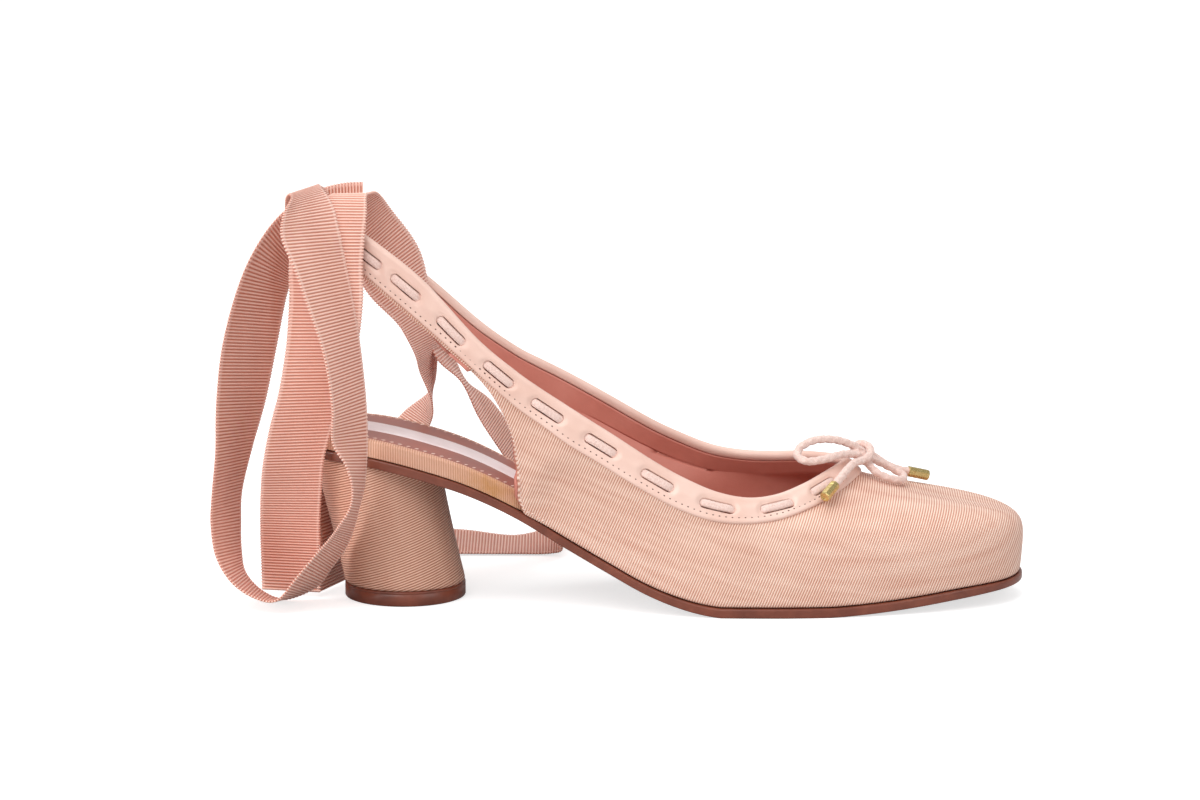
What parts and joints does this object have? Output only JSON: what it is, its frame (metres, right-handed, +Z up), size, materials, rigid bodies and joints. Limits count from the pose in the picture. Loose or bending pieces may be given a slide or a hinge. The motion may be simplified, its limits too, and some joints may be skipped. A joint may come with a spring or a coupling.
{
  "type": "slingback pump",
  "caption": "Slingback ballet pump with a round slanted heel, laced collar band, cord bow at the throat and grosgrain ribbon ties.",
  "frame": {"origin": "on the floor under the middle of the heel's top piece", "axes": "+X to the toe, -Y to the outer side of the foot, +Z up"},
  "size_m": [0.2763, 0.137, 0.1426],
  "materials": {
    "ribbed_fabric": "fine ribbed moire fabric, peach",
    "band_leather": "smooth pale pink leather",
    "sole_leather": "polished brown leather edge",
    "sock_leather": "smooth mauve brown leather",
    "lining_leather": "soft salmon lining leather",
    "grosgrain_ribbon": "ribbed grosgrain ribbon, salmon pink",
    "gilt_metal": "polished pale gold metal"
  },
  "bodies": {
    "root": {"outsole": "sole_leather", "heel_top_piece": "sole_leather", "heel_block": "ribbed_fabric", "insole_board": "ribbed_fabric", "insole_sock": "sock_leather", "upper": "ribbed_fabric", "collar_lace": "band_leather", "bow_knot": "band_leather", "bow_loop_near": "band_leather", "bow_loop_far": "band_leather", "bow_end_near": "band_leather", "bow_end_far": "band_leather", "bow_tip_near": "gilt_metal", "bow_tip_far": "gilt_metal", "ribbon_tie_looped": "grosgrain_ribbon", "ribbon_tie_crossed": "grosgrain_ribbon"}
  },
  "joints": []
}
